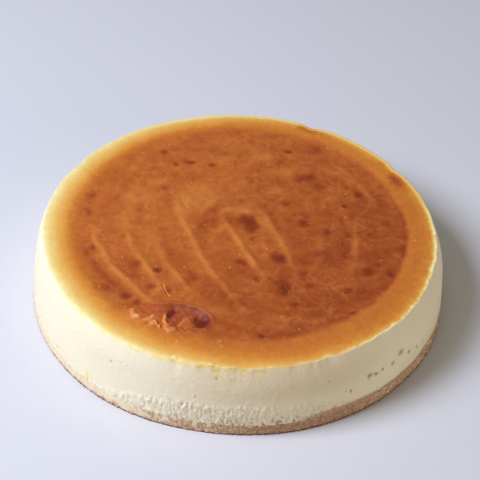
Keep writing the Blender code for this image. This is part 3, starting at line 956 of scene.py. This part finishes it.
# %% Shader maths as sums
class Signal:
    """A number that varies over the surface: a shader socket that takes part in sums."""

    def __init__(self, finish, socket):
        self.finish = finish
        self.socket = socket

    def sum_of(self, operation, first, second):
        return self.finish.node("ShaderNodeMath", {"operation": operation}, {0: first, 1: second})

    def __add__(self, other):
        return self.sum_of("ADD", self, other)

    def __radd__(self, other):
        return self.sum_of("ADD", other, self)

    def __sub__(self, other):
        return self.sum_of("SUBTRACT", self, other)

    def __rsub__(self, other):
        return self.sum_of("SUBTRACT", other, self)

    def __mul__(self, other):
        return self.sum_of("MULTIPLY", self, other)

    def __rmul__(self, other):
        return self.sum_of("MULTIPLY", other, self)

    def __pow__(self, other):
        return self.sum_of("POWER", self, other)


def paint(red, green, blue):
    """A colour as a screen shows it, 0 to 255, turned into the light that a shader works with."""
    shares = np.array((red, green, blue)) / 255.0
    light = np.where(shares <= 0.04045, shares / 12.92, ((shares + 0.055) / 1.055) ** 2.4)
    return (*(float(part) for part in light), 1.0)


class Finish:
    """A material under construction, round one Principled shader."""

    def __init__(self, name):
        self.material = bpy.data.materials.new(name)
        self.material.use_nodes = True
        self.tree = self.material.node_tree
        self.shader = self.tree.nodes["Principled BSDF"]
        self.place = self.node("ShaderNodeTexCoord", output="Object")
        self.colour = None

    def node(self, kind, settings=(), sockets=(), output=0):
        made = self.tree.nodes.new(kind)
        for name, value in dict(settings).items():
            if name == "stops":
                self.set_stops(made.color_ramp, value)
            else:
                setattr(made, name, value)
        for name, value in dict(sockets).items():
            self.feed(made.inputs[name], value)
        return Signal(self, made.outputs[output])

    def set_stops(self, ramp, stops):
        """Gives a colour ramp its stops, each a place from 0 to 1 and a paint."""
        while len(ramp.elements) < len(stops):
            ramp.elements.new(1.0)
        for element, (position, *shades) in zip(ramp.elements, stops):
            element.position = position
            element.color = paint(*shades)

    def feed(self, socket, value):
        if isinstance(value, Signal):
            self.tree.links.new(value.socket, socket)
        else:
            socket.default_value = value

    def set(self, **values):
        """Sets or links the Principled shader's own sockets, with _ for a space in a name."""
        for name, value in values.items():
            self.feed(self.shader.inputs[name.replace("_", " ")], value)

    def attribute(self, name):
        return self.node("ShaderNodeAttribute", {"attribute_name": name}, output="Fac")

    def stretched(self, share):
        """The place, with its height shrunk, so that a pattern read there is drawn out upwards."""
        settings = {"operation": "MULTIPLY"}
        return self.node("ShaderNodeVectorMath", settings, {0: self.place, 1: (1.0, 1.0, share)})

    def cells(self, scale, output="Distance"):
        sockets = {"Vector": self.place, "Scale": scale}
        return self.node("ShaderNodeTexVoronoi", sockets=sockets, output=output)

    def cell_tone(self, scale):
        """A tone from 0 to 1, the same all over each cell of cell noise."""
        colour = self.cells(scale, "Color")
        return self.node("ShaderNodeSeparateColor", sockets={"Color": colour}, output="Red")

    def grain(self, scale, detail=2.0, where=None):
        """Soft noise from 0 to 1, with scale swells to each metre."""
        sockets = {"Vector": where or self.place, "Scale": scale, "Detail": detail}
        return self.node("ShaderNodeTexNoise", sockets=sockets)

    def between(self, low, high, value):
        """0 up to low, 1 from high, and a soft rise between."""
        settings = {"interpolation_type": "SMOOTHSTEP"}
        return self.node("ShaderNodeMapRange", settings, {"Value": value, "From Min": low, "From Max": high})

    def mix(self, factor, first, second):
        """The first colour where factor is 0, and the second where it is 1."""
        sockets = {0: factor, 6: first, 7: second}
        return self.node("ShaderNodeMix", {"data_type": "RGBA"}, sockets, output=2)

    def tint(self, share, red, green, blue):
        """Paints over the colour that the finish has so far, as much as share says."""
        self.colour = self.mix(share, self.colour, paint(red, green, blue))

    def ramp(self, factor, stops):
        return self.node("ShaderNodeValToRGB", {"stops": stops}, {"Fac": factor})

    def relief(self, height, depth, strength=1.0, under=None):
        """A Bump node: height from 0 to 1 stands for depth in metres."""
        sockets = {"Height": height, "Distance": depth, "Strength": strength}
        if under is not None:
            sockets["Normal"] = under
        return self.node("ShaderNodeBump", sockets=sockets)


print("a mid brown is", [round(part, 3) for part in paint(158, 76, 37)])

# %% [markdown]
# The browned skin and the cheese under it are one food, so one finish covers both. A ramp turns
# browning into colour, from cream through straw, amber and chestnut to scorched brown, and fine
# noise breaks the ramp up where the mesh is too coarse to. Thin skin, partly painted light on the
# ridges' lit side, and the finest crinkles are tinted over it, then painted shade under the front
# rim, and then the tear, whose hollows and back wall carry painted light and shade, the holes and
# the dust. Light goes a little way into the cheese, which makes its edges glow. The skin is
# glossier than the cut side, and tiny blisters stand up in it: cell noise places them, and only
# some of its cells get one. Each is also tinted pale orange, a painted glint.

# %% Finish of the baked cheese
cheese = Finish("baked_cheese")
browned = cheese.attribute("browning")
mottle = cheese.grain(230.0, 3.0) - 0.5
speckle = cheese.grain(800.0, 2.0) - 0.5
skin_mask = cheese.between(0.25, 0.7, browned)
shade = browned + (mottle * 0.22 + speckle * 0.12) * skin_mask + mottle * 0.03
LEVEL_SPAN = 1.5
BROWN_STOPS = (
    (0.00, 243, 233, 200),
    (0.05, 243, 229, 168),
    (0.13, 239, 214, 133),
    (0.27, 231, 186, 97),
    (0.42, 222, 158, 69),
    (0.57, 208, 131, 48),
    (0.70, 196, 115, 43),
    (0.84, 184, 99, 40),
    (1.00, 163, 79, 31),
    (1.15, 141, 60, 23),
    (1.50, 96, 32, 12),
)
brown_ramp = [(level / LEVEL_SPAN, *shades) for level, *shades in BROWN_STOPS]
cheese.colour = cheese.ramp(shade * (1.0 / LEVEL_SPAN), brown_ramp)

CRINKLE_HALF_WIDTH = 0.045
off_line = cheese.grain(110.0, 2.0) - 0.5
crinkles = cheese.between(CRINKLE_HALF_WIDTH**2, 0.0, off_line * off_line)
crinkles = crinkles * cheese.between(0.42, 0.62, cheese.grain(60.0, 1.0))
crinkles = crinkles * cheese.between(0.55, 0.8, browned)
# The thin skin tint sits on the ridges' lit side, so it is partly painted light.
cheese.tint(cheese.attribute("thin") * 0.34, 214, 140, 80)
cheese.tint(crinkles * 0.20, 212, 134, 66)
# Painted shade: the cheese at the front right, most of all under the rim, is tinted darker tan.
cheese.tint(cheese.attribute("tan") * 0.34, 192, 152, 98)

torn = cheese.attribute("torn")
TEAR_TONES = (
    (0.00, 84, 24, 18),
    (0.15, 116, 40, 24),
    (0.35, 150, 68, 38),
    (0.50, 184, 94, 46),
    (0.70, 214, 130, 60),
    (0.86, 232, 158, 84),
    (1.00, 248, 192, 120),
)
tear_tone = cheese.attribute("tone")
torn_colour = cheese.ramp(tear_tone + mottle * 0.12, TEAR_TONES)
to_right = cheese.node("ShaderNodeSeparateXYZ", sockets={"Vector": cheese.place})
from_left = cheese.between(-0.060, -0.030, to_right)
# The back wall's colour is painted light at its left and painted shade at its right.
wall_light_and_shade = cheese.mix(from_left, paint(210, 114, 54), paint(146, 70, 30))
wall_share = cheese.attribute("wall") * cheese.between(0.12, 0.3, tear_tone)
torn_colour = cheese.mix(wall_share * 0.8, torn_colour, wall_light_and_shade)
cheese.colour = cheese.mix(torn, cheese.colour, torn_colour)

rough = cheese.attribute("rough")
hole_colour = cheese.mix(cheese.grain(600.0), paint(218, 186, 100), paint(158, 108, 52))
hole_share = cheese.between(0.1, 0.9, cheese.attribute("holes")) * 0.8
cheese.colour = cheese.mix(hole_share, cheese.colour, hole_colour)
streaks = cheese.grain(420.0, 3.0, cheese.stretched(0.35))
dusty = cheese.attribute("gaps") * 0.95 + rough * cheese.between(0.54, 0.72, streaks) * 0.22
dust_colour = cheese.mix(cheese.grain(1000.0, 3.0), paint(222, 178, 136), paint(156, 114, 80))
cheese.colour = cheese.mix(cheese.between(0.1, 1.0, dusty) * 0.9, cheese.colour, dust_colour)
cheese.tint(rough * cheese.between(0.63, 0.71, cheese.grain(950.0, 1.0)) * 0.60, 150, 108, 58)

BLISTER_RATE = 190.0
blisters_and_glints = cheese.between(0.15, 0.05, cheese.cells(BLISTER_RATE))
blisters_and_glints = blisters_and_glints * cheese.between(0.77, 0.81, cheese.cell_tone(BLISTER_RATE)) * skin_mask
# Painted glint: each blister is tinted pale orange over its small bump.
cheese.tint(blisters_and_glints * 0.65, 252, 176, 90)

relief = cheese.relief(cheese.grain(1500.0, 2.0), 0.0002, 0.35)
drawn_up = cheese.grain(300.0, 2.0, cheese.stretched(0.12)) * (1.0 - skin_mask)
relief = cheese.relief(drawn_up, 0.0004, 0.3, relief)
relief = cheese.relief(cheese.grain(330.0, 4.0), 0.0005, 0.7, relief)
relief = cheese.relief(crinkles, 0.0002, 0.4, relief)
relief = cheese.relief(streaks * rough, 0.0008, 0.8, relief)
relief = cheese.relief(blisters_and_glints, 0.0002, 0.6, relief)
wet = torn * cheese.between(0.3, 0.15, tear_tone) * cheese.between(-0.027, -0.022, to_right)
cheese.set(Base_Color=cheese.colour, Normal=relief)
cheese.set(Roughness=0.55 - skin_mask * 0.15 + torn * 0.14)
cheese.set(Coat_Weight=skin_mask * (1.0 - torn) * 0.06 + wet * 0.15, Coat_Roughness=0.3)
cheese.set(Subsurface_Weight=0.14, Subsurface_Scale=0.002, Subsurface_Radius=(1.0, 0.6, 0.3))
cheese.set(Specular_IOR_Level=0.25)
filling.data.materials.append(cheese.material)
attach(filling, "root")
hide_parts("cheese_filling")
print("the cheese finish has", len(cheese.tree.nodes), "nodes")

# %% [markdown]
# The biscuit base is pressed crumb: fine grains with small gaps between them, and a few lumps.
# Its wall is a ring of half millimetre quads that cell noise pushes in and out, so that the
# grains are real relief. Its top edge hides behind the foot of the filling, and its foot is flat.
# Cheese was smeared down over it as the ring came off: nearly all over at the left, in streaks
# at the front, where a line of bare crumb shows at the foot, and hardly at the right. How much
# shows at each place is kept as an attribute, and so is a darker patch at the front right, which
# is partly oilier crumb and partly painted shade.

# %% The biscuit base
BASE_STEPS = 1500
BASE_ROWS = 17
GRAIN_SIZES = (0.0011, 0.0032)
GRAIN_RELIEF = 0.00045
LUMP_RELIEF = 0.0005
MEAN_GRAIN = 0.6
BASE_TOP_TUCK = 0.0002
SMEAR_TURN = 172.0
SMEAR_STREAKS = ((1.0, 260.0, 91.0), (0.7, 700.0, 93.0))
SMEAR_STRETCH = (1.0, 1.0, 0.3)
SMEAR_BULGE = 0.0001
CRUMB_LINE = (-108.0, 44.0, 0.0022, 4)
SHADE_AND_OIL_PLACE = (-69.0, 19.0, 1.0, 4)


def packed_grains(points, size):
    """Relief of packed grains, from 0 in the gaps between them to 1 on the grains."""
    heights = []
    for place in (points / size).tolist():
        nearest = noise.voronoi(Vector(place))[0]
        heights.append(min((nearest[1] - nearest[0]) * 2.2, 1.0))
    return np.array(heights)


def smear_share(turn):
    """How much of the biscuit is smeared with cheese in each direction, from 0 to 1."""
    off = np.abs(degrees_off(turn, SMEAR_TURN))
    return 0.92 - 0.47 * soft_step(60.0, 88.0, off) - 0.40 * soft_step(84.0, 116.0, off)


ring = bmesh.new()
bmesh.ops.create_circle(ring, segments=BASE_STEPS, radius=1.0)
bmesh.ops.translate(ring, verts=ring.verts, vec=(0.0, 0.0, 1.0))
drop_wall(ring, BASE_ROWS)
bmesh.ops.contextual_create(ring, geom=[edge for edge in ring.edges if edge.is_boundary])
base = as_object(ring, "crumb_base")
ring_points = read_points(base)
base_turn = np.arctan2(ring_points[:, 1], ring_points[:, 0])
base_height = ring_points[:, 2] * layer_height(base_turn)
base_radius = side_radius(base_turn, base_height)
outward = np.stack([np.cos(base_turn), np.sin(base_turn)], axis=1)
wall_points = np.hstack([outward * base_radius[:, None], base_height[:, None]])
grains, lumps = [packed_grains(wall_points, size) for size in GRAIN_SIZES]
smear_noise = noise_sum(SMEAR_STREAKS, *(wall_points * SMEAR_STRETCH).T)
smear = soft_step(-0.12, 0.22, 0.55 * smear_noise + 1.6 * (smear_share(base_turn) - 0.5))
smear += (1.0 - smear) * soft_step(0.75, 1.1, ring_points[:, 2] + 0.25 * smear_noise)
crumb_line = hump_round(base_turn, *CRUMB_LINE) * (1.0 + 1.2 * smear_noise)
smear *= soft_step(0.6 * crumb_line - 0.0004, 1.2 * crumb_line, base_height)
base_radius += GRAIN_RELIEF * (grains - MEAN_GRAIN) * (1.0 - 0.8 * smear)
base_radius += LUMP_RELIEF * (lumps - MEAN_GRAIN) * (1.0 - smear)
base_radius += SMEAR_BULGE * smear - BASE_TOP_TUCK * soft_step(0.90, 0.96, ring_points[:, 2])
write_points(base, base_turn, base_radius, base_height)
write_attribute(base, "grain", grains * (0.5 + 0.5 * lumps))
write_attribute(base, "smear", smear)
# A darker patch at the front right, partly oilier crumb and partly painted shade.
write_attribute(base, "toasted", hump_round(base_turn, *SHADE_AND_OIL_PLACE))
print("the base has", triangle_count(base), "triangles")

# %% [markdown]
# Loose-looking crumbs stand out of that wall, and a few stick to the cheese just above it. Each
# is an icosphere of twenty faces, squashed and turned at random and sunk half into the wall, and
# all of them are one joined mesh. There are fewer of them where the cheese was smeared.

# %% Crumbs on the base
CRUMB_COUNT = 2400
CRUMB_SIZES = (0.00020, 0.00045)
STRAY_SHARE = 0.12
STRAY_HEIGHT = 0.0045
crumbs = bmesh.new()
chance = np.random.default_rng(5)
made = 0
while made < CRUMB_COUNT:
    crumb_turn = np.array([chance.uniform(-math.pi, math.pi)])
    top = float(layer_height(crumb_turn)[0])
    stray = chance.random() < STRAY_SHARE
    level = top + STRAY_HEIGHT * chance.random() ** 2 if stray else chance.uniform(0.0005, top)
    if chance.random() < 0.95 * float(smear_share(crumb_turn)[0]):
        continue
    size = chance.uniform(*CRUMB_SIZES)
    out = float(side_radius(crumb_turn, np.array([level]))[0]) + chance.uniform(-0.0003, 0.0001)
    way = float(crumb_turn[0])
    spot = Vector((out * math.cos(way), out * math.sin(way), max(level, 1.25 * size)))
    turned = Vector(chance.uniform(-1.0, 1.0, 3)).to_track_quat("Z", "Y")
    shape = Matrix.LocRotScale(spot, turned, Vector(chance.uniform(0.6, 1.2, 3)) * size)
    bmesh.ops.create_icosphere(crumbs, subdivisions=1, radius=1.0, matrix=shape)
    made += 1
crumb_piece = as_object(crumbs, "biscuit_crumbs")
crumb_piece.data.shade_flat()
print(made, "crumbs,", triangle_count(crumb_piece), "triangles")

# %% [markdown]
# Biscuit crumb is matt and light tan, and no two grains are quite alike. Cell noise gives each
# grain its own tone, and the relief's own attribute darkens the gaps between grains, which is
# painted shade. The lowest millimetre is darker too, a painted contact shadow along the foot. The
# smear is the cheese's own cream, and the patch at the front right is browner, partly oilier crumb
# and partly painted shade. The small crumbs carry no attributes and read 0 for each, so they take
# the full painted gap shade and no smear.

# %% Finish of the biscuit
biscuit = Finish("pressed_biscuit")
grain_tone = biscuit.cell_tone(1000.0) * 0.45 + biscuit.grain(700.0, 3.0) * 0.55
CRUMB_STOPS = (
    (0.20, 190, 142, 108),
    (0.42, 228, 186, 146),
    (0.62, 243, 210, 172),
    (0.85, 250, 233, 200),
)
biscuit.colour = biscuit.ramp(grain_tone, CRUMB_STOPS)
gaps = 1.0 - biscuit.attribute("grain")
height_above = biscuit.node("ShaderNodeSeparateXYZ", sockets={"Vector": biscuit.place}, output="Z")
foot_shade = biscuit.between(0.0014, 0.0004, height_above)
# Painted shade: the gaps between grains, and the loose crumbs, are tinted brown.
biscuit.tint(biscuit.between(0.35, 1.0, gaps) * 0.35, 140, 98, 72)
tan_streaks = biscuit.between(0.50, 0.72, biscuit.grain(600.0, 2.0, biscuit.stretched(0.35)))
smear_colour = biscuit.mix(tan_streaks * 0.5, paint(246, 229, 192), paint(230, 194, 152))
biscuit.colour = biscuit.mix(biscuit.attribute("smear") * 0.94, biscuit.colour, smear_colour)
# The front right patch is tinted browner, partly oilier crumb and partly painted shade.
biscuit.tint(biscuit.attribute("toasted") * 0.52, 158, 110, 76)
# Painted contact shadow: the lowest millimetre is tinted dark brown.
biscuit.tint(foot_shade * 0.9, 110, 64, 36)
biscuit.set(Base_Color=biscuit.colour, Roughness=0.85, Specular_IOR_Level=0.3)
biscuit.set(Normal=biscuit.relief(biscuit.grain(1600.0, 3.0), 0.0003, 0.6))
biscuit.set(Subsurface_Weight=0.1, Subsurface_Scale=0.002, Subsurface_Radius=(1.0, 0.5, 0.25))
for piece in (base, crumb_piece):
    piece.data.materials.append(biscuit.material)
    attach(piece, "root")
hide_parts("biscuit_base")
print("the biscuit finish has", len(biscuit.tree.nodes), "nodes")

# %% [markdown]
# The cake stands on a plain pale floor that runs out of sight. A large soft light at the left is
# the window of this little studio: it whitens the left side and throws a soft shadow to the
# right. A wide soft light overhead fills the shadow, and a low warm one lifts the right side. The
# surround stays dim, because a bright one would put a grey veil over the gloss.

# %% Floor and lights
floor_mesh = bmesh.new()
bmesh.ops.create_grid(floor_mesh, x_segments=2, y_segments=2, size=4.0)
floor = as_object(floor_mesh, "floor")
floor_finish = Finish("pale_floor")
floor_finish.set(Base_Color=(0.66, 0.68, 0.70, 1.0), Roughness=0.8, Specular_IOR_Level=0.1)
floor.data.materials.append(floor_finish.material)


def area_light(name, azimuth, elevation, distance, size, power, colour):
    """A square light that faces the cake from a direction, in degrees, 0 to the right."""
    data = bpy.data.lights.new(name, "AREA")
    data.size = size
    data.energy = power
    data.color = colour
    turn, rise = math.radians(azimuth), math.radians(elevation)
    way = Vector((math.cos(turn) * math.cos(rise), math.sin(turn) * math.cos(rise), math.sin(rise)))
    light = bpy.data.objects.new(name, data)
    light.location = way * distance
    light.rotation_euler = way.to_track_quat("Z", "Y").to_euler()
    bpy.context.scene.collection.objects.link(light)


area_light("key", -161.0, 49.0, 1.6, 0.7, 32.0, (0.78, 0.80, 0.96))
area_light("overhead", -120.0, 82.0, 1.8, 1.6, 4.2, (1.0, 0.84, 0.56))
area_light("right_fill", -25.0, 13.0, 1.8, 0.7, 7.0, (1.0, 0.82, 0.55))
surround = bpy.data.worlds.new("surround")
surround.use_nodes = True
surround.node_tree.nodes["Background"].inputs["Color"].default_value = (0.86, 0.88, 1.0, 1.0)
surround.node_tree.nodes["Background"].inputs["Strength"].default_value = 0.14
bpy.context.scene.world = surround
bpy.context.scene.view_settings.view_transform = "Standard"
print("three lights and a surround")

# %% [markdown]
# The camera looks down at forty degrees through a long lens, which keeps the two rims of the cake
# nearly parallel. It is turned by three degrees about its own view, as a hand-held one is. Its
# place is given in cake radii from the middle of the foot, along its view and across it.

# %% The camera
CAMERA_PITCH = math.radians(40.09)
CAMERA_ROLL = math.radians(3.03)
CAMERA_DISTANCE = 9.8755 * CAKE_RADIUS
CAMERA_SHIFT = (-0.0027 * CAKE_RADIUS, 0.2466 * CAKE_RADIUS)
LENS = 150.0
view_way = Vector((0.0, math.cos(CAMERA_PITCH), -math.sin(CAMERA_PITCH)))
level_right = Vector((1.0, 0.0, 0.0))
level_up = level_right.cross(view_way)
right = level_right * math.cos(CAMERA_ROLL) + level_up * math.sin(CAMERA_ROLL)
up = level_up * math.cos(CAMERA_ROLL) - level_right * math.sin(CAMERA_ROLL)
stand = level_right * CAMERA_SHIFT[0] + level_up * CAMERA_SHIFT[1] - view_way * CAMERA_DISTANCE
camera = bpy.data.objects.new("camera", bpy.data.cameras.new("camera"))
camera.data.lens = LENS
camera.matrix_world = Matrix((
    (right.x, up.x, -view_way.x, stand.x),
    (right.y, up.y, -view_way.y, stand.y),
    (right.z, up.z, -view_way.z, stand.z),
    (0.0, 0.0, 0.0, 1.0),
))
bpy.context.scene.collection.objects.link(camera)
bpy.context.scene.camera = camera
print("the camera stands", round(stand.length, 3), "m away")
